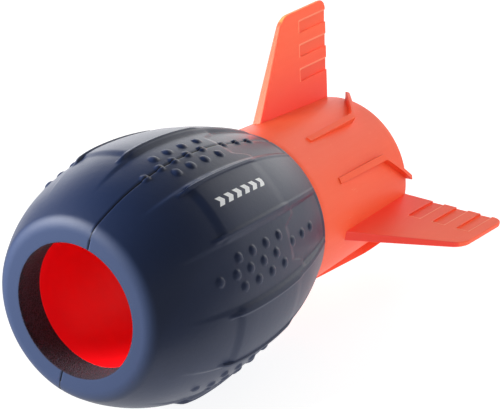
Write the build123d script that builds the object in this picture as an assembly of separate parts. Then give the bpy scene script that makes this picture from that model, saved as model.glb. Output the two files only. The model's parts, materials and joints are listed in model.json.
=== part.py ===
"""Finned foam throwing ball with a hollow core, lying on its belly and two fins.

A soft foam barrel in two halves is bonded round a thin core sleeve. A tapered tail cone
grips the sleeve's rear end and carries three swept fins and six steering strakes.
The hollow runs straight through from the nose to the tail.

Pieces are built with the flight axis along +Y, the nose face at y = 0 and the top fin
towards +Z, then all are set down together in the lying pose. A station is a distance
behind the nose face, and a turn is an angle about the flight axis, from the top fin
towards +X. Lengths are in millimetres and angles in degrees.
"""
import os
from math import acos, atan2, cos, degrees, hypot, radians, sin

from build123d import *

# Foam barrel
FOAM_LENGTH = 123.2
BELLY_RADIUS = 55.2
BELLY_STATION = 50.0
NOSE_ARC_RADIUS = 84.0
NOSE_ROUND = 7.5
MOUTH_RADIUS = 29.0
MOUTH_DEPTH = 13.5
REAR_LIP = 1.2
SEAM_TURN = 33.0

# Core sleeve
SLEEVE_WALL = 1.4
SLEEVE_STANDOUT = 14.0
BOND_GAP = 0.1

# Tail cone
TAIL_LENGTH = 71.6
TAIL_FRONT_RADIUS = 37.3
TAIL_REAR_RADIUS = 33.8
TAIL_WALL = 2.5
FLANGE_THICKNESS = 3.0
COLLAR_WALL = 2.0
SOCKET_GAP = 0.1

# Fins
FIN_NAMES = ("fin_top", "fin_right", "fin_left")
FIN_PITCH = 360 / len(FIN_NAMES)
FIN_TIP_RADIUS = 75.2
FIN_SETBACK = 20.0
FIN_LEADING_SWEEP = 36.0
FIN_TIP_CHORD = 34.0
FIN_ROOT_THICKNESS = 4.8
FIN_TIP_THICKNESS = 2.4
FIN_TIP_ROUND = 5.0
FIN_EDGE_ROUND = 0.4
TAB_LENGTH = 30.0
TAB_THICKNESS = 2.4
TAB_GAP = 0.1

# Recessed louvres on both faces of each fin, open at the trailing edge
LOUVRE_COUNT = 3
LOUVRE_FIRST_RADIUS = 45.3
LOUVRE_PITCH = 10.0
LOUVRE_WIDTH = 5.0
LOUVRE_LENGTH = 21.0
LOUVRE_DEPTH = 0.8

# Strakes, each an axial rib that kinks towards the nearest fin
STRAKE_NAMES = (
    ("strake_right_upper", "strake_right_lower"),
    ("strake_bottom_right", "strake_bottom_left"),
    ("strake_left_lower", "strake_left_upper"),
)
STRAKE_TURNS = (44.0, 80.0)
STRAKE_LEANS = (-1, 1)
STRAKE_WIDTH = 2.9
STRAKE_SETBACK = 20.5
STRAKE_KINK = 55.0
STRAKE_SPREAD = 22.5
STRAKE_FRONT_HEIGHT = 0.7
STRAKE_KINK_HEIGHT = 3.3
STRAKE_REAR_HEIGHT = 3.4

TAIL_END = FOAM_LENGTH + TAIL_LENGTH
SLEEVE_OUTER = MOUTH_RADIUS + SLEEVE_WALL
FOAM_REAR_RADIUS = TAIL_FRONT_RADIUS + REAR_LIP
TAIL_REAR_BORE = TAIL_REAR_RADIUS - TAIL_WALL
FIN_LEAD_ROOT = FOAM_LENGTH + FIN_SETBACK
FIN_LEAD_TIP = FIN_LEAD_ROOT + FIN_LEADING_SWEEP
FIN_TRAIL_TIP = FIN_LEAD_TIP + FIN_TIP_CHORD
TRAILING_SLOPE = (FIN_TRAIL_TIP - TAIL_END) / (FIN_TIP_RADIUS - TAIL_REAR_RADIUS)


def tail_radius(station):
    """Outer radius of the tail cone at a station."""
    share = (station - FOAM_LENGTH) / TAIL_LENGTH
    return TAIL_FRONT_RADIUS + share * (TAIL_REAR_RADIUS - TAIL_FRONT_RADIUS)


def spun(section, angle=360):
    """Solid that a (station, radius) section sweeps about the flight axis."""
    return revolve(Plane.YZ * section, Axis.Y, angle)


def turn(angle):
    """Rotation about the flight axis."""
    return Rot(0, angle, 0)


def outline(*points):
    """Closed (station, radius) section through the points."""
    return Polygon(*points, align=None)


# Foam barrel and sleeve


def rear_arc_radius():
    """Radius of the belly line's arc that runs from the widest ring to the rear edge."""
    drop = BELLY_RADIUS - FOAM_REAR_RADIUS
    run = FOAM_LENGTH - BELLY_STATION
    return (run**2 + drop**2) / (2 * drop)


def foam_half(seam_turn):
    """Half of the foam barrel, from one seam to the other."""
    belly = (BELLY_STATION, BELLY_RADIUS)
    nose_drop = NOSE_ARC_RADIUS - (NOSE_ARC_RADIUS**2 - BELLY_STATION**2) ** 0.5
    nose_edge = (0, BELLY_RADIUS - nose_drop)
    rear_edge = (FOAM_LENGTH, FOAM_REAR_RADIUS)
    bore_radius = SLEEVE_OUTER + BOND_GAP
    edges = TangentArc(belly, nose_edge, tangent=(-1, 0))
    edges += TangentArc(belly, rear_edge, tangent=(1, 0))
    edges += Polyline(
        nose_edge,
        (0, MOUTH_RADIUS),
        (MOUTH_DEPTH, MOUTH_RADIUS),
        (MOUTH_DEPTH, bore_radius),
        (FOAM_LENGTH, bore_radius),
        rear_edge,
    )
    section = make_face(edges)
    nose_corner = section.vertices().sort_by(Axis.X)[:2].sort_by(Axis.Y)[-1]
    section = fillet(nose_corner, NOSE_ROUND)
    return turn(seam_turn) * spun(section, 180)


def core_sleeve():
    """Thin tube that lines the hollow, from behind the mouth into the tail's collar."""
    length = FOAM_LENGTH + SLEEVE_STANDOUT - MOUTH_DEPTH
    wall = Rectangle(length, SLEEVE_WALL, align=Align.MIN)
    return spun(Pos(MOUTH_DEPTH, MOUTH_RADIUS) * wall)


# Tail cone


def tail_core():
    """Everything within the tail cone's outer surface."""
    return spun(
        outline(
            (FOAM_LENGTH, 0),
            (FOAM_LENGTH, TAIL_FRONT_RADIUS),
            (TAIL_END, TAIL_REAR_RADIUS),
            (TAIL_END, 0),
        )
    )


def tail_bore():
    """Everything within the tail cone's inner surface."""
    return spun(
        outline(
            (FOAM_LENGTH, 0),
            (FOAM_LENGTH, TAIL_FRONT_RADIUS - TAIL_WALL),
            (TAIL_END, TAIL_REAR_BORE),
            (TAIL_END, 0),
        )
    )


def root_tab(gap=0.0):
    """Block along a fin's root; with a gap all round it is the slot that takes the tab."""
    middle = (FIN_LEAD_ROOT + TAIL_END) / 2
    width = TAB_THICKNESS + 2 * gap
    length = TAB_LENGTH + 2 * gap
    bottom = TAIL_REAR_BORE - TAIL_WALL
    height = TAIL_FRONT_RADIUS + TAIL_WALL - bottom
    above = (Align.CENTER, Align.CENTER, Align.MIN)
    return Pos(0, middle, bottom) * Box(width, length, height, align=above)


def tail_cone():
    """Tapered tube with a front flange, a collar on the sleeve and a slot for each tab."""
    socket_radius = SLEEVE_OUTER + SOCKET_GAP
    collar = Rectangle(SLEEVE_STANDOUT, COLLAR_WALL, align=Align.MIN)
    flange_width = TAIL_FRONT_RADIUS - TAIL_WALL / 2 - socket_radius
    flange = Rectangle(FLANGE_THICKNESS, flange_width, align=Align.MIN)
    cone = tail_core() - tail_bore()
    cone += spun(Pos(FOAM_LENGTH, socket_radius) * (collar + flange))
    for index in range(len(FIN_NAMES)):
        cone -= turn(index * FIN_PITCH) * root_tab(TAB_GAP)
    return cone


# Fins


def half_thickness(radius):
    """Half of a fin's thickness at a radius."""
    share = (radius - TAIL_REAR_BORE) / (FIN_TIP_RADIUS - TAIL_REAR_BORE)
    return (FIN_ROOT_THICKNESS + share * (FIN_TIP_THICKNESS - FIN_ROOT_THICKNESS)) / 2


def fin_blade():
    """Swept blade whose thickness tapers to the tip, from inside the tail cone's wall."""
    lead_slope = FIN_LEADING_SWEEP / (FIN_TIP_RADIUS - tail_radius(FIN_LEAD_ROOT))
    lead_inset = lead_slope * (tail_radius(FIN_LEAD_ROOT) - TAIL_REAR_BORE)
    plan = outline(
        (FIN_LEAD_ROOT - lead_inset, TAIL_REAR_BORE),
        (FIN_LEAD_TIP, FIN_TIP_RADIUS),
        (FIN_TRAIL_TIP, FIN_TIP_RADIUS),
        (TAIL_END - TRAILING_SLOPE * TAIL_WALL, TAIL_REAR_BORE),
    )
    plan = fillet(plan.vertices().sort_by(Axis.Y)[-2:], FIN_TIP_ROUND)
    blade = extrude(Plane.YZ * plan, FIN_ROOT_THICKNESS / 2, both=True)
    root = half_thickness(TAIL_REAR_BORE)
    tip = half_thickness(FIN_TIP_RADIUS)
    taper = outline(
        (-root, TAIL_REAR_BORE),
        (root, TAIL_REAR_BORE),
        (tip, FIN_TIP_RADIUS),
        (-tip, FIN_TIP_RADIUS),
    )
    return blade & extrude(Plane.XZ * taper, FIN_TRAIL_TIP, dir=(0, 1, 0))


def louvre(radius, side):
    """Cut for one recess on the +X or -X face, parallel to the trailing edge in front."""
    outer = radius + LOUVRE_WIDTH
    floor = half_thickness(radius + LOUVRE_WIDTH / 2) - LOUVRE_DEPTH
    trail_inner = TAIL_END + TRAILING_SLOPE * (radius - TAIL_REAR_RADIUS)
    trail_outer = trail_inner + TRAILING_SLOPE * LOUVRE_WIDTH
    plan = outline(
        (trail_inner - LOUVRE_LENGTH, radius),
        (trail_outer - LOUVRE_LENGTH, outer),
        (trail_outer + LOUVRE_LENGTH, outer),
        (trail_inner + LOUVRE_LENGTH, radius),
    )
    cut = Pos(floor, 0, 0) * extrude(Plane.YZ * plan, FIN_ROOT_THICKNESS, dir=(1, 0, 0))
    return cut if side > 0 else mirror(cut, about=Plane.YZ)


def fin():
    """Fin with its root seated on the tail cone and its tab down through the slot."""
    blade = fin_blade() - tail_core()
    rim = blade.edges().filter_by(lambda edge: edge.center().Z > TAIL_FRONT_RADIUS + FIN_TIP_ROUND)
    blade = fillet(rim.filter_by(lambda edge: abs(edge.center().X) > FIN_EDGE_ROUND), FIN_EDGE_ROUND)
    for index in range(LOUVRE_COUNT):
        radius = LOUVRE_FIRST_RADIUS + index * LOUVRE_PITCH
        blade -= louvre(radius, 1) + louvre(radius, -1)
    return blade + (root_tab() - tail_bore())


# Strakes


def strake_skin():
    """Ring between the tail cone and the strakes' tops, which ramp up to the kink."""
    front = FOAM_LENGTH + STRAKE_SETBACK
    kink = FOAM_LENGTH + STRAKE_KINK
    return spun(
        outline(
            (front, tail_radius(front)),
            (front, tail_radius(front) + STRAKE_FRONT_HEIGHT),
            (kink, tail_radius(kink) + STRAKE_KINK_HEIGHT),
            (TAIL_END, TAIL_REAR_RADIUS + STRAKE_REAR_HEIGHT),
            (TAIL_END, TAIL_REAR_RADIUS),
        )
    )


def strake(angle, lean):
    """Rib along the cone at a turn, then kinked over towards +turn or -turn by its lean."""
    front = FOAM_LENGTH + STRAKE_SETBACK
    kink = FOAM_LENGTH + STRAKE_KINK
    height = TAIL_FRONT_RADIUS + STRAKE_REAR_HEIGHT
    half_spread = radians(STRAKE_SPREAD / 2)
    kink_offset = tail_radius(kink) * sin(half_spread)
    offset = kink_offset + TAIL_REAR_RADIUS * sin(half_spread)
    run = TAIL_END - kink
    heading = degrees(atan2(offset, run))
    ahead = (Align.CENTER, Align.MIN, Align.MIN)
    first = Pos(0, front, 0) * Box(STRAKE_WIDTH, kink - front, height, align=ahead)
    first += Pos(0, kink, height / 2) * Cylinder(STRAKE_WIDTH / 2, height)
    second = Box(STRAKE_WIDTH, 1.5 * hypot(offset, run), height, align=ahead)
    second = Pos(-lean * kink_offset, kink, 0) * Rot(0, 0, -lean * heading) * second
    rib = turn(angle) * first + turn(angle + lean * STRAKE_SPREAD / 2) * second
    return rib & strake_skin()


# Assembly in the lying pose


def lying_tilt():
    """Angle by which the tail drops until belly and lower fin tips share one floor."""
    arc = rear_arc_radius()
    tip_depth = FIN_TIP_RADIUS * cos(radians(180 - FIN_PITCH))
    tip_depth += half_thickness(FIN_TIP_RADIUS) * sin(radians(180 - FIN_PITCH))
    run = FIN_TRAIL_TIP - FIN_TIP_ROUND - BELLY_STATION
    depth = tip_depth - (BELLY_RADIUS - arc)
    return degrees(atan2(run, depth) - acos(arc / hypot(run, depth)))


pieces = {
    "foam_half_right": foam_half(SEAM_TURN),
    "foam_half_left": foam_half(SEAM_TURN + 180),
    "core_sleeve": core_sleeve(),
    "tail_cone": tail_cone(),
}
one_fin = fin()
for index, name in enumerate(FIN_NAMES):
    pieces[name] = turn(index * FIN_PITCH) * one_fin
for index, pair in enumerate(STRAKE_NAMES):
    for name, angle, lean in zip(pair, STRAKE_TURNS, STRAKE_LEANS):
        pieces[name] = strake(index * FIN_PITCH + angle, lean)

tilted = Rot(-lying_tilt(), 0, 0)
extent = Compound([tilted * piece for piece in pieces.values()]).bounding_box()
lie_down = Pos(-extent.center().X, -extent.center().Y, -extent.min.Z) * tilted

os.makedirs("parts", exist_ok=True)
for name, piece in pieces.items():
    export_step(lie_down * piece, f"parts/{name}.step")
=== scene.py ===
import json
from math import asin, atan2, ceil, cos, degrees, hypot, pi, radians, sin, sqrt, tan

import bpy
import numpy as np
from mathutils import Matrix, Vector


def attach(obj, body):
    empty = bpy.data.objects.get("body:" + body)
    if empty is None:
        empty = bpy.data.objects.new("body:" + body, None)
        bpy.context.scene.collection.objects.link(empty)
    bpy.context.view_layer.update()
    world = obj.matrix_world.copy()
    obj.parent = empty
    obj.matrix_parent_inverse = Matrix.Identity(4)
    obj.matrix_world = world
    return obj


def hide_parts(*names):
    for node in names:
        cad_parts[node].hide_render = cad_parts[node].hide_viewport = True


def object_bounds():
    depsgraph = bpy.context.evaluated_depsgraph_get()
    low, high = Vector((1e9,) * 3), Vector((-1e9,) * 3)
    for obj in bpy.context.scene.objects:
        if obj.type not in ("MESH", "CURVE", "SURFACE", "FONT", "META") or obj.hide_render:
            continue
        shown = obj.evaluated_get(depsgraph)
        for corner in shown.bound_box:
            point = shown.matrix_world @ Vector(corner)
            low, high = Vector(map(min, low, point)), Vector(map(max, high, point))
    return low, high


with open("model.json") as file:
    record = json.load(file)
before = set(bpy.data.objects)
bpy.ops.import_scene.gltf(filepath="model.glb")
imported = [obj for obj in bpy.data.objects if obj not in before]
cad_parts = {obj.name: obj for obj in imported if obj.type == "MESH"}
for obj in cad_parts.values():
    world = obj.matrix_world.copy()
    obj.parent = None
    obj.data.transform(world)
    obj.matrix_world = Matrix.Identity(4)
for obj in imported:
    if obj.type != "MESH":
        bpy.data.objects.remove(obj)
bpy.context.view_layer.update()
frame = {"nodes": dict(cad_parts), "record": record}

# ---------------------------------------------------------------------------------------
# Foam barrel: two half shells of moulded urethane foam with a smooth skin, bonded to each
# other on a plane through the flight axis and to the sleeve inside. The mould gives the
# grip panels, their nubs, lips and ramps; the mouth is cut open, so its cells show.
# ---------------------------------------------------------------------------------------

MM = 0.001
core_mount = next(m for m in frame["record"]["mounts"] if m["name"] == "hollow_core")
nose_centre = Vector(core_mount["pos_m"])
tailward = -Vector(core_mount["axis"]).normalized()
rightward = Vector((1, 0, 0))
lying = Matrix((rightward, tailward, rightward.cross(tailward))).transposed().to_4x4()
lying.translation = nose_centre
upright = lying.inverted()


def measured(node):
    """Last station and least and greatest radius of a CAD node, in metres."""
    points = [upright @ v.co for v in frame["nodes"][node].data.vertices]
    radii = [hypot(p.x, p.z) for p in points]
    return max(p.y for p in points), min(radii), max(radii)


# A length times MM is in metres. The relief's own lengths are in mm, and all turns in degrees.
SEAM_TURN = 33
SEAM_GAP = 0.08 * MM
SLEEVE_GAP = 0.1 * MM
REAR_STEP = 1.2 * MM
PANEL_PITCH = 60
ROW_SPACING = 0.55 * MM
NOSE_ARC = 84 * MM
NOSE_ROUND = 7.5 * MM
BELLY_STATION = 50 * MM
MOUTH_DEPTH = 13.5 * MM
PANEL_PROUD = 0.6 * MM
MIDDLE_NUBS = (31, 40.5, 49.5, 59, 69, 85, 95.5, 105)
SIDE_NUBS = (44, 53.5, 63.5, 74)
SIDE_NUB_TURN = 6.5
NUB_RADIUS = 2.15
NUB_HEIGHT = 0.95
LIP_TURN = 17.2
LIP_HEIGHT = 1.75
GRIP_EDGE = (13.6, 16.0)
GRIP_START = (12, 34)
GRIP_DEPTH = 0.55
RAMP = (37, 42)
RAMP_HEIGHT = 0.85
PAD_END = 80
PAD_EAR = 9
PAD_STEP = 0.8
GROOVE_HALF_WIDTH = 0.7
GROOVE_DEPTH = 0.5

foam_rear, mouth_radius, belly_radius = measured("foam_half_right")
_, sleeve_inner, sleeve_outer = measured("core_sleeve")
tail_end, _, tail_front_radius = measured("tail_cone")
rear_radius = tail_front_radius + REAR_STEP
skin_belly = belly_radius - PANEL_PROUD


def clear_selection():
    """Leaves object mode with nothing selected."""
    if bpy.context.object and bpy.context.object.mode != "OBJECT":
        bpy.ops.object.mode_set(mode="OBJECT")
    bpy.ops.object.select_all(action="DESELECT")


def pick(piece):
    """Selects one piece alone and makes it the active one."""
    clear_selection()
    piece.select_set(True)
    bpy.context.view_layer.objects.active = piece


def turned_copy(piece, name, turn):
    """Copy of a piece with a mesh of its own, turned about the flight axis by degrees."""
    copy = piece.copy()
    copy.data = piece.data.copy()
    copy.name = copy.data.name = name
    bpy.context.scene.collection.objects.link(copy)
    copy.data.transform(Matrix.Rotation(radians(turn), 4, "Y"))
    return copy


def spun_section(name, outline, first_turn=0, sweep=360, steps=192):
    """Shell that a closed (station, radius) outline sweeps about the flight axis."""
    clear_selection()
    bpy.ops.mesh.primitive_circle_add(vertices=len(outline))
    piece = bpy.context.object
    piece.name = piece.data.name = name
    start = Matrix.Rotation(radians(first_turn), 4, "Y")
    for vertex, (station, radius) in zip(piece.data.vertices, outline):
        vertex.co = start @ Vector((0, station, radius))
    bpy.ops.object.mode_set(mode="EDIT")
    bpy.ops.mesh.select_all(action="SELECT")
    bpy.ops.mesh.spin(steps=steps, angle=radians(sweep), center=(0, 0, 0), axis=(0, 1, 0))
    bpy.ops.mesh.select_all(action="SELECT")
    bpy.ops.mesh.remove_doubles(threshold=1e-6)
    if sweep < 360:
        bpy.ops.mesh.select_all(action="DESELECT")
        bpy.ops.mesh.select_non_manifold()
        bpy.ops.mesh.edge_face_add()
    bpy.ops.mesh.select_all(action="SELECT")
    bpy.ops.mesh.normals_make_consistent(inside=False)
    bpy.ops.object.mode_set(mode="OBJECT")
    return piece


def lay_down(piece, node):
    """Sets a piece made round the flight axis down in the lying pose, in its CAD node's place."""
    piece.location = (0, 0, 0)
    piece.data.transform(lying)
    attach(piece, "root")
    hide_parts(node)


def arc_points(centre, radius, from_angle, to_angle, spacing):
    """Points along an arc in the (station, radius) plane, ends included."""
    count = max(2, ceil(abs(to_angle - from_angle) * radius / spacing))
    angles = np.linspace(from_angle, to_angle, count + 1)
    return [(centre[0] + radius * cos(a), centre[1] + radius * sin(a)) for a in angles]


def foam_outline():
    """Closed section of the barrel, from the mouth's edge over the skin and back inside."""
    nose_centre_radius = skin_belly - NOSE_ARC
    reach = NOSE_ARC - NOSE_ROUND
    round_radius = nose_centre_radius + sqrt(reach**2 - (BELLY_STATION - NOSE_ROUND) ** 2)
    join = atan2(round_radius - nose_centre_radius, NOSE_ROUND - BELLY_STATION)
    drop = skin_belly - rear_radius
    rear_arc = ((foam_rear - BELLY_STATION) ** 2 + drop**2) / (2 * drop)
    rear_angle = asin((foam_rear - BELLY_STATION) / rear_arc)
    lip = 0.6 * MM
    outline = [(s, mouth_radius) for s in np.linspace(MOUTH_DEPTH, lip, 12)]
    outline += arc_points((lip, mouth_radius + lip), lip, 1.5 * pi, pi, 0.25 * MM)[1:]
    outline += [(0, r) for r in np.linspace(mouth_radius + lip, round_radius, 9)[1:]]
    outline += arc_points((NOSE_ROUND, round_radius), NOSE_ROUND, pi, join, ROW_SPACING)[1:]
    outline += arc_points((BELLY_STATION, nose_centre_radius), NOSE_ARC, join, pi / 2, ROW_SPACING)[1:]
    outline += arc_points(
        (BELLY_STATION, skin_belly - rear_arc), rear_arc, pi / 2, pi / 2 - rear_angle, ROW_SPACING
    )[1:]
    inner = sleeve_outer + SLEEVE_GAP
    outline += [(foam_rear, (rear_radius + inner) / 2), (foam_rear, inner)]
    outline += [((foam_rear + MOUTH_DEPTH) / 2, inner), (MOUTH_DEPTH, inner)]
    return outline


def eased(low, high, value):
    """Smooth step from 0 at low to 1 at high."""
    share = np.clip((value - low) / (high - low), 0, 1)
    return share * share * (3 - 2 * share)


def lip_relief(station, off):
    """Height of the thin lip along each edge of a smooth panel, in mm."""
    height = LIP_HEIGHT * eased(30, 39, station) - 0.7 * eased(82.5, 90, station)
    height -= 0.35 * eased(90, 122, station)
    return height * (1 - eased(0.6, 1.2, np.abs(off - LIP_TURN)))


def nub_relief(station, across, radius):
    """Height of the domes that stand in three rows along each grip panel, in mm."""
    places = [(s, 0) for s in MIDDLE_NUBS]
    places += [(s, side * SIDE_NUB_TURN) for s in SIDE_NUBS for side in (-1, 1)]
    height = np.zeros_like(station)
    for nub_station, nub_turn in places:
        away = np.hypot(station - nub_station, np.radians(across - nub_turn) * radius)
        dome = np.clip(1 - (away / NUB_RADIUS) ** 2, 0, 1) ** 0.55
        height = np.maximum(height, NUB_HEIGHT * dome)
    return height


def panel_relief(station, off):
    """Height of the sunk grip panels and the raised smooth ones over the plain barrel, in mm."""
    sunk = eased(*GRIP_START, station)
    pad_end = PAD_END + PAD_EAR * eased(7.4, 12.4, off)
    behind_pad = eased(pad_end, pad_end + 4.5, station) * (1 - eased(92, 121, station))
    grip = -GRIP_DEPTH * sunk - PAD_STEP * behind_pad
    smooth = 0.25 * sunk + RAMP_HEIGHT * eased(*RAMP, station) - 0.3 * eased(81, 88, station)
    smooth -= 0.35 * eased(90, 122, station)
    smooth = np.maximum(smooth, lip_relief(station, off))
    return grip + (smooth - grip) * eased(*GRIP_EDGE, off)


def emboss(piece):
    """Moves the skin by its relief and seam groove, and keeps the crests as an attribute."""
    mesh = piece.data
    co = np.zeros(len(mesh.vertices) * 3)
    mesh.vertices.foreach_get("co", co)
    co = co.reshape(-1, 3)
    radius = np.hypot(co[:, 0], co[:, 2])
    turn = np.degrees(np.arctan2(co[:, 0], co[:, 2]))
    station = co[:, 1] / MM
    across = (turn - SEAM_TURN + PANEL_PITCH / 2) % PANEL_PITCH - PANEL_PITCH / 2
    off = np.abs(across)
    seam_away = np.abs(np.radians((turn - SEAM_TURN + 90) % 180 - 90)) * radius / MM
    groove = GROOVE_DEPTH * (1 - eased(0.0, GROOVE_HALF_WIDTH, seam_away))
    nubs = nub_relief(station, across, radius / MM)
    ends = eased(1.5, 12, station) * (1 - eased(120.5, 123, station))
    height = panel_relief(station, off) * ends + nubs - groove
    skin = (radius > rear_radius - 1.0 * MM) & (station > -1)
    face = (radius > mouth_radius + 0.1 * MM) & (station < 0.01)
    grown = 1 + np.where(skin, height, 0) * MM / radius
    co[:, 0] *= grown
    co[:, 2] *= grown
    co[:, 1] += np.where(face, groove * MM, 0)
    mesh.vertices.foreach_set("co", co.ravel())
    crest = np.clip(nubs / NUB_HEIGHT + lip_relief(station, off) * 0.5, 0, 1) * skin
    mesh.attributes.new("crest", "FLOAT", "POINT").data.foreach_set("value", crest)
    mesh.update()


half_gap = degrees(SEAM_GAP / 2 / mouth_radius)
half_sweep = 180 - 2 * half_gap
right_half = spun_section("skin_foam_half_right", foam_outline(), SEAM_TURN + half_gap, half_sweep, 340)
emboss(right_half)
left_half = turned_copy(right_half, "skin_foam_half_left", 180)
foam_halves = [right_half, left_half]
for node, half in (("foam_half_right", right_half), ("foam_half_left", left_half)):
    lay_down(half, node)
    pick(half)
    bpy.ops.object.shade_smooth_by_angle(angle=radians(50))


class Wire:
    """A socket that a material's nodes pass on. Sums and products of wires add Math nodes."""

    def __init__(self, tree, socket=None):
        self.tree = tree
        self.socket = socket

    def node(self, kind, settings, sockets, out=0):
        """Adds a node: its settings first, then the values or links of its sockets."""
        added = self.tree.nodes.new(kind)
        for key, value in settings.items():
            setattr(added, key, value)
        for key, value in sockets.items():
            if isinstance(value, Wire):
                self.tree.links.new(value.socket, added.inputs[key])
            else:
                added.inputs[key].default_value = value
        return Wire(self.tree, added.outputs[out])

    def math(self, operation, second=0.0):
        """Math on this wire and a second value."""
        return self.node("ShaderNodeMath", {"operation": operation}, {0: self, 1: second})

    def __add__(self, other):
        return self.math("ADD", other)

    def __sub__(self, other):
        return self.math("SUBTRACT", other)

    def __rsub__(self, other):
        return self * -1 + other

    def __mul__(self, other):
        return self.math("MULTIPLY", other)

    def __pow__(self, other):
        return self.math("POWER", other)

    __radd__ = __add__
    __rmul__ = __mul__

    def size(self):
        """The value without its sign."""
        return self.math("ABSOLUTE")

    def rise(self, low, high):
        """Smooth step from 0 where the value is low to 1 where it is high."""
        reach = {"Value": self, "From Min": low, "From Max": high}
        return self.node("ShaderNodeMapRange", {"interpolation_type": "SMOOTHSTEP"}, reach)

    def tint(self, low, high):
        """Colour from low, where the value is 0, to high, where it is 1."""
        ends = {key: c if isinstance(c, Wire) else (*c, 1) for key, c in ((6, low), (7, high))}
        return self.node("ShaderNodeMix", {"data_type": "RGBA"}, {0: self, **ends}, out=2)

    def grain(self, scale, detail=2.0, roughness=0.5):
        """Noise from 0 to 1 at the places that this vector gives."""
        sockets = {"Vector": self, "Scale": scale, "Detail": detail, "Roughness": roughness}
        return self.node("ShaderNodeTexNoise", {}, sockets)

    def axis(self, name):
        """One coordinate of this vector."""
        return self.node("ShaderNodeSeparateXYZ", {}, {0: self}, out=name)

    def into(self, shader, socket):
        """Feeds one of the shader's own sockets."""
        self.tree.links.new(self.socket, shader.inputs[socket])

    def relief(self, shader, depth, strength=1.0):
        """Feeds the shader's normal as a bump of the given depth in metres."""
        sockets = {"Height": self, "Distance": depth, "Strength": strength}
        self.node("ShaderNodeBump", {}, sockets).into(shader, "Normal")


def finish(name, constants):
    """A material, its shader with the constants set, and its place along the flight axes in mm."""
    material = bpy.data.materials.new(name)
    material.use_nodes = True
    shader = material.node_tree.nodes["Principled BSDF"]
    for key, value in constants.items():
        shader.inputs[key].default_value = value
    place = Wire(material.node_tree).node("ShaderNodeTexCoord", {}, {}, out="Object")
    turned = {"Rotation": upright.to_euler(), "Location": upright.translation / MM}
    place = place.node("ShaderNodeMapping", {}, {"Vector": place, "Scale": [1 / MM] * 3, **turned})
    return material, shader, place


def coat_with(piece, material):
    """Gives the whole piece one material."""
    piece.data.materials.clear()
    piece.data.materials.append(material)


FOAM_NAVY = (0.0050, 0.0170, 0.0640)
FOAM_PALE_AND_CREST_HIGHLIGHT = (0.0110, 0.024, 0.078)
FOAM_SLATE_AND_PAINTED_LIGHT = (0.030, 0.054, 0.136)
FOAM_CELLS_DARK = (0.004, 0.002, 0.004)
FOAM_CELLS_PALE = (0.040, 0.024, 0.040)
MARK_WHITE = (0.78, 0.79, 0.80)
MARK_STATION = 63
MARK_TURN = 61.6
MARK_PITCH = 6
MARK_HALF_LENGTH = 17
MARK_HALF_WIDTH = 1.9
SEAM_BLACK = (0.002, 0.002, 0.003)


def foam_finish():
    """Navy foam skin with painted highlight on its crests, chalky on the nose ring and lighter there
    partly as painted light, open-celled at the mouth, with a plain mark that glows as painted light.
    """
    material, shader, place = finish(
        "foam_skin",
        {
            "Sheen Weight": 0.08,
            "Sheen Roughness": 0.3,
            "Specular IOR Level": 0.5,
            "Emission Strength": 0.3,
        },
    )
    right, station, up = (place.axis(name) for name in "XYZ")
    radius = (right * right + up * up) ** 0.5
    turn = right.math("ARCTAN2", up)
    seam_side = (right * cos(radians(SEAM_TURN)) - up * sin(radians(SEAM_TURN))).size()
    seam = 1 - seam_side.rise(0.08, 0.35)
    ring = 1 - station.rise(0.4, 3.6)
    mouth = 1 - radius.rise(mouth_radius / MM + 0.15, mouth_radius / MM + 0.5)
    crest = place.node("ShaderNodeAttribute", {"attribute_name": "crest"}, {}, out="Fac")
    cloud = place.grain(0.06, 3)
    fine = place.grain(1.9, 4, 0.6)
    # Random cloud and grain pale the skin as tone, and the nub and lip crests are painted lighter as a
    # highlight.
    skin = (cloud * 0.5 + crest * 0.45 + fine * 0.25).rise(0.2, 1.15).tint(FOAM_NAVY, FOAM_PALE_AND_CREST_HIGHLIGHT)
    # The nose ring turns lighter slate, partly its matte finish and partly painted light from the
    # front-left.
    skin = (ring * (0.8 + 0.3 * fine)).tint(skin, FOAM_SLATE_AND_PAINTED_LIGHT)
    along = station - MARK_STATION
    beside = (turn * degrees(1) - MARK_TURN) * (belly_radius / MM * radians(1))
    chevron = (along + beside.size() * 0.9) * (1 / MARK_PITCH)
    bars = chevron.math("FRACT").rise(0.44, 0.48)
    bars = bars * (1 - beside.size().rise(MARK_HALF_WIDTH, MARK_HALF_WIDTH + 0.2))
    bars = bars * (1 - along.size().rise(MARK_HALF_LENGTH, MARK_HALF_LENGTH + 0.3))
    worn = place.grain(0.9, 5, 0.7).rise(0.24, 0.36)
    mark = bars * worn * (radius - 40).rise(0, 1)
    skin = mark.tint(skin, MARK_WHITE)
    # Painted light: the white mark also glows faintly through the skin's emission, to keep it bright.
    mark.tint((0, 0, 0), MARK_WHITE).into(shader, "Emission Color")
    skin = seam.tint(skin, SEAM_BLACK)
    cells = place.node("ShaderNodeTexVoronoi", {}, {"Vector": place, "Scale": 1.25})
    cut = (cells * 1.1 + fine * 0.5).rise(0.35, 1.0).tint(FOAM_CELLS_DARK, FOAM_CELLS_PALE)
    mouth.tint(skin, cut).into(shader, "Base Color")
    gloss = 0.50 - 0.08 * fine - 0.05 * cloud + 0.14 * ring + 0.4 * mouth + 0.05 * crest
    gloss.into(shader, "Roughness")
    lie = fine * 0.12 * (1 - mouth) + place.grain(0.35, 2) * 0.16 + cells * mouth * 1.2
    lie.relief(shader, 0.4 * MM, 0.7)
    return material


foam_skin = foam_finish()
for half in foam_halves:
    coat_with(half, foam_skin)

# ---------------------------------------------------------------------------------------
# Core sleeve: a thin red polypropylene tube that lines the hollow. The foam halves are
# bonded round it, and its rear end stands out into the tail's collar.
# ---------------------------------------------------------------------------------------

SLEEVE_ROUND = 0.45 * MM
SLEEVE_RED = (0.94, 0.006, 0.012)
SLEEVE_DEEP = (0.88, 0.003, 0.007)

sleeve_end = measured("core_sleeve")[0]


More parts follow.
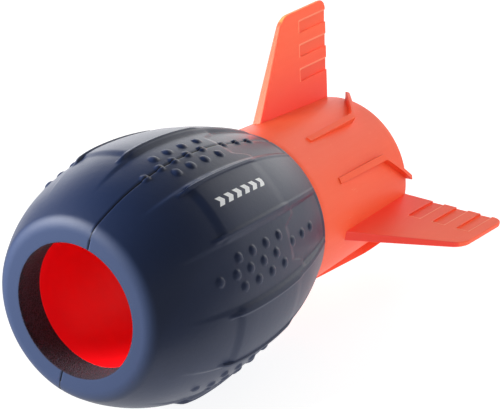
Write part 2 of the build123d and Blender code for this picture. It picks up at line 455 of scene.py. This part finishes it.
def rounded_corner(station, radius, tailward_side, outward_side, round_radius):
    """Three-step rounding of a section's corner, given on which sides its material ends."""
    centre = (station - tailward_side * round_radius, radius - outward_side * round_radius)
    middle = atan2(outward_side, tailward_side)
    turn_way = tailward_side * outward_side
    ends = (middle + turn_way * pi / 4, middle - turn_way * pi / 4)
    return arc_points(centre, round_radius, *ends, round_radius / 2)


def sleeve_outline():
    """Closed section of the tube, with both its ends rounded."""
    front = MOUTH_DEPTH + 0.05 * MM
    outline = rounded_corner(front, sleeve_inner, -1, -1, SLEEVE_ROUND)
    outline += rounded_corner(front, sleeve_outer, -1, 1, SLEEVE_ROUND)
    outline += [(s, sleeve_outer) for s in np.linspace(front, sleeve_end, 12)[1:-1]]
    outline += rounded_corner(sleeve_end, sleeve_outer, 1, 1, SLEEVE_ROUND)
    outline += rounded_corner(sleeve_end, sleeve_inner, 1, -1, SLEEVE_ROUND)
    outline += [(s, sleeve_inner) for s in np.linspace(sleeve_end, front, 12)[1:-1]]
    return outline


def sleeve_finish():
    """Smooth red plastic with faint rings from the mandrel it is drawn over."""
    material, shader, place = finish("sleeve_plastic", {"Specular IOR Level": 0.5})
    cloud = place.grain(0.05, 2)
    fine = place.grain(1.4, 3)
    rings = (place.axis("Y") * 0.9 + cloud * 4).math("SINE")
    (cloud * 0.7 + fine * 0.3).tint(SLEEVE_RED, SLEEVE_DEEP).into(shader, "Base Color")
    (0.34 + 0.12 * fine).into(shader, "Roughness")
    (fine * 0.5 + rings * 0.3).relief(shader, 0.1 * MM, 0.35)
    return material


sleeve = spun_section("drawn_core_sleeve", sleeve_outline(), steps=160)
lay_down(sleeve, "core_sleeve")
coat_with(sleeve, sleeve_finish())
bpy.ops.object.shade_smooth_by_angle(angle=radians(40))

# ---------------------------------------------------------------------------------------
# Tail cone: an injection-moulded tapered tube in orange polypropylene. Its front flange
# is bonded to the foam, and its collar is slid over the sleeve's rear end.
# ---------------------------------------------------------------------------------------

TAIL_WALL = 2.5 * MM
TAIL_ROUND = 0.7 * MM
FLANGE = 3 * MM
COLLAR_WALL = 2 * MM
TAIL_REAR_RADIUS = 33.8 * MM
SATIN_ORANGE = (0.92, 0.110, 0.032)
DEEP_ORANGE = (0.88, 0.084, 0.022)
SCUFF_AND_RIM_HIGHLIGHT_ORANGE = (0.97, 0.28, 0.15)
ROOT_AND_LEAD_SHADE_RED = (0.84, 0.032, 0.010)


def cone_radius(station):
    """Outer radius of the tail cone at a station."""
    share = (station - foam_rear) / (tail_end - foam_rear)
    return tail_front_radius + share * (TAIL_REAR_RADIUS - tail_front_radius)


def tail_outline():
    """Closed section of the cone with its flange and collar, all its free edges rounded."""
    bore = sleeve_outer + SLEEVE_GAP
    collar = bore + COLLAR_WALL
    collar_end = foam_rear + 14 * MM
    outline = rounded_corner(foam_rear, tail_front_radius, -1, 1, TAIL_ROUND)
    outline += [(s, cone_radius(s)) for s in np.linspace(foam_rear, tail_end, 30)[1:-1]]
    outline += rounded_corner(tail_end, TAIL_REAR_RADIUS, 1, 1, TAIL_ROUND)
    outline += rounded_corner(tail_end, TAIL_REAR_RADIUS - TAIL_WALL, 1, -1, TAIL_ROUND)
    inside = np.linspace(tail_end, foam_rear + FLANGE, 30)[1:]
    outline += [(s, cone_radius(s) - TAIL_WALL) for s in inside]
    outline += [(foam_rear + FLANGE, collar)]
    outline += rounded_corner(collar_end, collar, 1, 1, 0.5 * MM)
    outline += [(collar_end, bore), (foam_rear, bore)]
    return outline


def moulded_finish(name, wear_radius, marks=None):
    """Satin orange plastic with grain, flow, scuffs outside a radius in mm, and given marks: beads
    painted lighter as highlight and painted shade in deeper red.
    """
    material, shader, place = finish(
        name,
        {"Specular IOR Level": 0.55, "Subsurface Weight": 0.12, "Subsurface Scale": 0.0015},
    )
    right, up = place.axis("X"), place.axis("Z")
    radius = (right * right + up * up) ** 0.5
    cloud = place.grain(0.045, 3)
    fine = place.grain(2.4, 3, 0.6)
    flow = place.node("ShaderNodeMapping", {}, {"Vector": place, "Scale": (0.5, 0.05, 0.5)})
    flow = flow.grain(1.0, 4, 0.55)
    scuff = place.node("ShaderNodeMapping", {}, {"Vector": place, "Scale": (1.2, 0.25, 1.2)})
    scuff = scuff.grain(0.8, 6, 0.7).rise(0.62, 0.74) * radius.rise(wear_radius - 14, wear_radius)
    colour = (cloud * 0.6 + flow * 0.4).tint(SATIN_ORANGE, DEEP_ORANGE)
    pale = scuff * 0.55
    rim = 0.0
    if marks:
        rim, painted_shade = marks(place.axis("Y"), radius)
        # Painted shade: the marks' second mask turns the colour deeper red at the root and lead.
        colour = painted_shade.tint(colour, ROOT_AND_LEAD_SHADE_RED)
    # Scuffs pale the plastic as wear, and the recess beads are painted lighter as a highlight.
    (pale + rim * 0.7).tint(colour, SCUFF_AND_RIM_HIGHLIGHT_ORANGE).into(shader, "Base Color")
    (0.40 + 0.10 * fine + 0.08 * flow + 0.10 * scuff).into(shader, "Roughness")
    (fine * 0.55 + flow * 0.5 + scuff * 0.3 + rim * 2.0).relief(shader, 0.12 * MM, 0.45)
    return material


tail = spun_section("moulded_tail_cone", tail_outline(), steps=180)
lay_down(tail, "tail_cone")
coat_with(tail, moulded_finish("tail_plastic", tail_front_radius / MM))
bpy.ops.object.shade_smooth_by_angle(angle=radians(40))

# ---------------------------------------------------------------------------------------
# Fins: three swept blades in the same orange plastic, thick at the root and thin at the
# tip, with three recessed louvres on each face that run out at the trailing edge. Each
# root sinks a little into the cone's wall.
# ---------------------------------------------------------------------------------------

FIN_TURNS = {"fin_top": 0, "fin_right": 120, "fin_left": 240}
FIN_TIP_RADIUS = 75.2 * MM
FIN_SETBACK = 20 * MM
FIN_LEADING_SWEEP = 36 * MM
FIN_TIP_CHORD = 34 * MM
FIN_ROOT_HALF = 2.4 * MM
FIN_TIP_HALF = 1.2 * MM
FIN_TIP_ROUND = 5 * MM
FIN_LEAD_ROUND = 0.6 * MM
FIN_SINK = 1.2 * MM
LOUVRE_RADII = (45.3 * MM, 55.3 * MM, 65.3 * MM)
LOUVRE_WIDTH = 5 * MM
LOUVRE_LENGTH = 21 * MM
LOUVRE_DEPTH = 0.85 * MM
LOUVRE_ROUND = 0.22 * MM

fin_lead_root = foam_rear + FIN_SETBACK
fin_lead_tip = fin_lead_root + FIN_LEADING_SWEEP
fin_trail_tip = fin_lead_tip + FIN_TIP_CHORD
lead_slope = FIN_LEADING_SWEEP / (FIN_TIP_RADIUS - cone_radius(fin_lead_root))
trail_slope = (fin_trail_tip - tail_end) / (FIN_TIP_RADIUS - TAIL_REAR_RADIUS)


def fin_half(radius):
    """Half of a fin's thickness at a radius."""
    inner = TAIL_REAR_RADIUS - TAIL_WALL
    share = (radius - inner) / (FIN_TIP_RADIUS - inner)
    return FIN_ROOT_HALF + share * (FIN_TIP_HALF - FIN_ROOT_HALF)


def shaped_block(name, corner):
    """Cube whose corners go where corner(side, along, outward) says, each given as -1 or 1."""
    clear_selection()
    bpy.ops.mesh.primitive_cube_add(size=2)
    block = bpy.context.object
    block.name = block.data.name = name
    for vertex in block.data.vertices:
        vertex.co = corner(*(round(c) for c in vertex.co))
    return block


def fin_corner(side, along, outward):
    """Corner of the plain blade, from inside the cone's wall to the tip."""
    if outward > 0:
        radius = FIN_TIP_RADIUS
        station = fin_trail_tip if along > 0 else fin_lead_tip
    elif along > 0:
        radius = TAIL_REAR_RADIUS - FIN_SINK
        station = tail_end - trail_slope * FIN_SINK
    else:
        radius = cone_radius(fin_lead_root) - FIN_SINK
        station = fin_lead_root - lead_slope * FIN_SINK
    return Vector((side * fin_half(radius), station, radius))


def bevel_where(piece, wanted, width, segments):
    """Bevels the edges of a piece that pass a test on their two ends."""
    mesh = piece.data
    bpy.ops.object.mode_set(mode="EDIT")
    bpy.ops.mesh.select_mode(type="EDGE")
    bpy.ops.mesh.select_all(action="DESELECT")
    bpy.ops.object.mode_set(mode="OBJECT")
    for edge in mesh.edges:
        edge.select = wanted(*(mesh.vertices[i].co for i in edge.vertices))
    bpy.ops.object.mode_set(mode="EDIT")
    bpy.ops.mesh.bevel(offset=width, segments=segments, affect="EDGES")
    bpy.ops.object.mode_set(mode="OBJECT")


def tip_corner_edge(a, b):
    """The short edges across the blade at the two ends of its tip."""
    return min(a.z, b.z) > FIN_TIP_RADIUS - 1e-6 and abs(a.x - b.x) > FIN_TIP_HALF


def louvre_cutter(radius, side):
    """Block that cuts one recess in a face, slanted as the trailing edge is."""
    floor = fin_half(radius + LOUVRE_WIDTH / 2) - LOUVRE_DEPTH

    def corner(outer_face, along, outward):
        reach = radius + LOUVRE_WIDTH * (outward + 1) / 2
        station = tail_end + trail_slope * (reach - TAIL_REAR_RADIUS) + along * LOUVRE_LENGTH
        depth = floor if outer_face * side < 0 else 2 * FIN_ROOT_HALF
        return Vector((side * depth, station, reach))

    cutter = shaped_block("louvre_cutter", corner)
    front = tail_end - LOUVRE_LENGTH / 2
    bevel_where(cutter, lambda a, b: max(a.y, b.y) < front and abs(a.x - b.x) > MM, 0.8 * MM, 3)
    return cutter


def recess(piece, cutter):
    """Cuts one block out of a piece and removes the block."""
    cut = piece.modifiers.new("recess", "BOOLEAN")
    cut.operation = "DIFFERENCE"
    cut.object = cutter
    pick(piece)
    bpy.ops.object.modifier_apply(modifier=cut.name)
    bpy.data.objects.remove(cutter)


def soften(piece, width, segments=2):
    """Rounds every sharp edge of a piece a little, as a mould does."""
    pick(piece)
    edge = piece.modifiers.new("soft_edges", "BEVEL")
    edge.width = width
    edge.segments = segments
    edge.limit_method = "ANGLE"
    edge.angle_limit = radians(35)
    bpy.ops.object.modifier_apply(modifier=edge.name)


def shade_flats(piece, angle):
    """Smooth shading over the rounded edges that leaves the broad flats flat."""
    pick(piece)
    bpy.ops.object.shade_smooth_by_angle(angle=radians(angle))
    weighing = piece.modifiers.new("flats", "WEIGHTED_NORMAL")
    weighing.keep_sharp = True
    bpy.ops.object.modifier_apply(modifier=weighing.name)


def fin_marks(station, radius):
    """Masks from 0 to 1 of the bead round each recess, which is painted lighter as a highlight, and of
    the painted shade in deeper red on the lead and root.
    """
    behind = station - tail_end / MM - (radius - TAIL_REAR_RADIUS / MM) * trail_slope
    pitch = (LOUVRE_RADII[1] - LOUVRE_RADII[0]) / MM
    first, width = LOUVRE_RADII[0] / MM, LOUVRE_WIDTH / MM
    share = (radius - first) * (1 / pitch)
    across = share.math("FRACT") * pitch
    front = 1 - (behind + LOUVRE_LENGTH / MM).size().rise(0.3, 0.65)
    front = front * (1 - (across - width / 2).size().rise(width / 2, width / 2 + 0.5))
    outer = 1 - (across - width).size().rise(0.3, 0.65)
    outer = outer * (behind + LOUVRE_LENGTH / MM).rise(-0.4, 0)
    middle = first + pitch + width / 2
    span = pitch + width / 2
    # Painted highlight: the finish paints these beads lighter, besides bumping them.
    rims = (front + outer) * (1 - (radius - middle).size().rise(span + 0.4, span + 0.8))
    # Painted shade: deeper red towards the thick root and along the leading edge.
    thick = 1 - radius.rise(30, FIN_TIP_RADIUS / MM - 10)
    lead_start = (fin_lead_root - lead_slope * cone_radius(fin_lead_root)) / MM
    lead = 1 - (station - radius * lead_slope - lead_start).rise(0.35, 0.9)
    return rims, thick.math("MAXIMUM", lead)


fin_blank = shaped_block("fin_blank", fin_corner)
bevel_where(fin_blank, tip_corner_edge, FIN_TIP_ROUND, 8)
soften(fin_blank, FIN_LEAD_ROUND, 3)
for louvre_radius in LOUVRE_RADII:
    for side in (-1, 1):
        recess(fin_blank, louvre_cutter(louvre_radius, side))
soften(fin_blank, LOUVRE_ROUND)
moulded_fins = []
fin_plastic = moulded_finish("fin_plastic", FIN_TIP_RADIUS / MM, fin_marks)
for node, fin_turn in FIN_TURNS.items():
    fin = turned_copy(fin_blank, "moulded_" + node, fin_turn)
    lay_down(fin, node)
    coat_with(fin, fin_plastic)
    shade_flats(fin, 40)
    moulded_fins.append(fin)
bpy.data.objects.remove(fin_blank)

# ---------------------------------------------------------------------------------------
# Strakes: six ribs moulded on the cone, in pairs between the fins. Each rises along the
# cone, then kinks towards the nearest fin and runs out at the rear rim.
# ---------------------------------------------------------------------------------------

STRAKE_TURNS = {
    "strake_right_upper": (44, -1),
    "strake_right_lower": (80, 1),
    "strake_bottom_right": (164, -1),
    "strake_bottom_left": (200, 1),
    "strake_left_lower": (284, -1),
    "strake_left_upper": (320, 1),
}
STRAKE_WIDTH = 2.9 * MM
STRAKE_SETBACK = 20.5 * MM
STRAKE_KINK = 55 * MM
STRAKE_SPREAD = 22.5
STRAKE_FRONT_HEIGHT = 0.7 * MM
STRAKE_KINK_HEIGHT = 3.3 * MM
STRAKE_REAR_HEIGHT = 3.4 * MM
STRAKE_SINK = 0.6 * MM
STRAKE_ROUND = 0.3 * MM
STRAKE_ROWS = 28

strake_front = foam_rear + STRAKE_SETBACK
strake_kink = foam_rear + STRAKE_KINK
strake_run = tail_end - strake_kink
strake_drift = radians(STRAKE_SPREAD) * TAIL_REAR_RADIUS


def strake_height(station):
    """Height of a strake's top over the cone."""
    if station < strake_kink:
        share = (station - strake_front) / (strake_kink - strake_front)
        return STRAKE_FRONT_HEIGHT + (STRAKE_KINK_HEIGHT - STRAKE_FRONT_HEIGHT) * share
    share = (station - strake_kink) / strake_run
    return STRAKE_KINK_HEIGHT + (STRAKE_REAR_HEIGHT - STRAKE_KINK_HEIGHT) * share


def strake_point(side, along, top, lean):
    """Point on a strake: side is -1 to 1 across it, and along is 0 to 2 with the kink at 1."""
    sideways = side * STRAKE_WIDTH / 2
    slant = atan2(strake_drift, strake_run)
    mitre = strake_kink + lean * sideways * tan(slant / 2)
    if along <= 1:
        station = strake_front + along * (mitre - strake_front)
    else:
        station = mitre + (along - 1) * (tail_end - 0.05 * MM - mitre)
        sideways += lean * (station - mitre) * tan(slant)
    radius = cone_radius(station)
    angle = sideways / radius
    radius += strake_height(station) if top else -STRAKE_SINK
    return Vector((radius * sin(angle), station, radius * cos(angle)))


def strake_blank(lean):
    """A strake at the top of the cone, which leans right from its kink on for 1 and left for -1."""
    clear_selection()
    bpy.ops.mesh.primitive_grid_add(x_subdivisions=1, y_subdivisions=STRAKE_ROWS, size=2)
    blank = bpy.context.object
    bpy.ops.object.mode_set(mode="EDIT")
    bpy.ops.mesh.select_all(action="SELECT")
    bpy.ops.mesh.extrude_region_move(TRANSFORM_OT_translate={"value": (0, 0, -1)})
    bpy.ops.object.mode_set(mode="OBJECT")
    for vertex in blank.data.vertices:
        side, along, top = round(vertex.co.x), vertex.co.y + 1, vertex.co.z > -0.5
        vertex.co = strake_point(side, along, top, lean)
    bpy.ops.object.mode_set(mode="EDIT")
    bpy.ops.mesh.select_all(action="SELECT")
    bpy.ops.mesh.normals_make_consistent(inside=False)
    bpy.ops.object.mode_set(mode="OBJECT")
    soften(blank, STRAKE_ROUND)
    return blank


strake_blanks = {lean: strake_blank(lean) for lean in (-1, 1)}
moulded_strakes = []
strake_plastic = moulded_finish("strake_plastic", tail_front_radius / MM + 2)
for node, (strake_turn, strake_lean) in STRAKE_TURNS.items():
    strake = turned_copy(strake_blanks[strake_lean], "moulded_" + node, strake_turn)
    lay_down(strake, node)
    coat_with(strake, strake_plastic)
    shade_flats(strake, 40)
    moulded_strakes.append(strake)
for blank in strake_blanks.values():
    bpy.data.objects.remove(blank)

# ---------------------------------------------------------------------------------------
# Floor, light and camera: a plain white card on a light table, softboxes that each light
# the pieces they are meant for, a grey card that keeps the right side's reflections dark,
# and a long lens from the front right, a little above the nose.
# ---------------------------------------------------------------------------------------

visual_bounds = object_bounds()


def floor_finish():
    """White card on a light table, with a trace of grain."""
    glow = {"Emission Color": (1, 1, 1, 1), "Emission Strength": 0.9}
    material, shader, place = finish("white_card", glow)
    place.grain(0.02, 2).tint((0.42, 0.42, 0.42), (0.38, 0.38, 0.38)).into(shader, "Base Color")
    (0.55 + 0.1 * place.grain(0.3)).into(shader, "Roughness")
    return material


clear_selection()
bpy.ops.mesh.primitive_plane_add(size=12, location=(0, 0, visual_bounds[0][2]))
floor = bpy.context.object
floor.name = "floor"
bpy.ops.object.transform_apply()
coat_with(floor, floor_finish())

world = bpy.data.worlds.new("studio_air")
bpy.context.scene.world = world
world.use_nodes = True
air = world.node_tree.nodes["Background"]
air.inputs["Color"].default_value = (1, 1, 1, 1)
outward = Wire(world.node_tree).node("ShaderNodeTexCoord", {}, {}, out="Generated")
behind, above = outward.axis("Y") - 0.25 * outward.axis("X"), outward.axis("Z")
backdrop = behind.rise(0.5, 0.95) * (1 - above.rise(0.25, 0.7))
studio = 0.17 + 2.5 * backdrop
world.node_tree.links.new(studio.socket, air.inputs["Strength"])


def softbox(name, centre, bearing, lift, distance, width, height, radiance, lit):
    """Light on the lit pieces alone, at a bearing off the nose and a lift from a centre, in degrees."""
    data = bpy.data.lights.new(name, "AREA")
    data.shape = "RECTANGLE"
    data.size = width
    data.size_y = height
    data.energy = radiance * pi * width * height
    light = bpy.data.objects.new(name, data)
    bpy.context.scene.collection.objects.link(light)
    level = cos(radians(lift))
    towards = Vector((sin(radians(bearing)) * level, -cos(radians(bearing)) * level, sin(radians(lift))))
    light.location = centre + distance * towards
    light.rotation_euler = towards.to_track_quat("Z", "Y").to_euler()
    light.light_linking.receiver_collection = bpy.data.collections.new(name + "_lights")
    for piece in lit:
        light.light_linking.receiver_collection.objects.link(piece)
    return light


tail_centre = lying @ Vector((0, (foam_rear + tail_end) / 2, 0))
tail_pieces = [tail, *moulded_fins, *moulded_strakes]
softbox("key_light", nose_centre, -45, 45, 0.45, 0.22, 0.22, 28, [*foam_halves, sleeve])
softbox("tail_key", tail_centre, -45, 45, 0.6, 0.3, 0.3, 9, tail_pieces)
softbox("rear_light", nose_centre, -140, 28, 0.8, 0.5, 0.4, 1.2, foam_halves)
softbox("mouth_light", nose_centre, 10, 8, 0.6, 0.4, 0.4, 6.4, [sleeve]).visible_glossy = False
softbox("tail_light", tail_centre, 78, 28, 0.6, 0.6, 0.6, 2.0, tail_pieces)
softbox("edge_light", tail_centre, -8, 38, 0.7, 0.35, 0.35, 80, [moulded_fins[0]])

clear_selection()
bpy.ops.mesh.primitive_plane_add(size=1, location=(0.45, -0.42, visual_bounds[0][2] + 0.001))
dark_card = bpy.context.object
dark_card.name = "dark_card"
dark_card.rotation_euler.z = radians(55)
dark_card.visible_camera = False
dark_card.visible_shadow = False
bpy.ops.object.transform_apply()
felt_glow = {"Emission Color": (1, 1, 1, 1), "Emission Strength": 0.3}
grey_felt, shader, place = finish("grey_felt", {"Roughness": 1, **felt_glow})
place.grain(0.2).tint((0.02, 0.02, 0.02), (0.03, 0.03, 0.03)).into(shader, "Base Color")
coat_with(dark_card, grey_felt)

bpy.context.scene.view_settings.view_transform = "Standard"

AIM = Vector((0, 124.6, 5.4)) * MM
CAMERA_RANGE = 1.32
CAMERA_AZIMUTH = 39.6
CAMERA_ELEVATION = 10.41
CAMERA_ROLL = -15.44
camera_data = bpy.data.cameras.new("camera")
camera_data.lens = 219.6
camera_data.sensor_width = 36
camera_data.clip_end = 50
camera = bpy.data.objects.new("camera", camera_data)
bpy.context.scene.collection.objects.link(camera)
heading = Matrix.Rotation(radians(CAMERA_AZIMUTH), 4, "Z")
pitch = Matrix.Rotation(radians(90 - CAMERA_ELEVATION), 4, "X")
roll = Matrix.Rotation(radians(CAMERA_ROLL), 4, "Z")
back = Matrix.Translation((0, 0, CAMERA_RANGE))
camera.matrix_world = lying @ Matrix.Translation(AIM) @ heading @ pitch @ roll @ back
bpy.context.scene.camera = camera
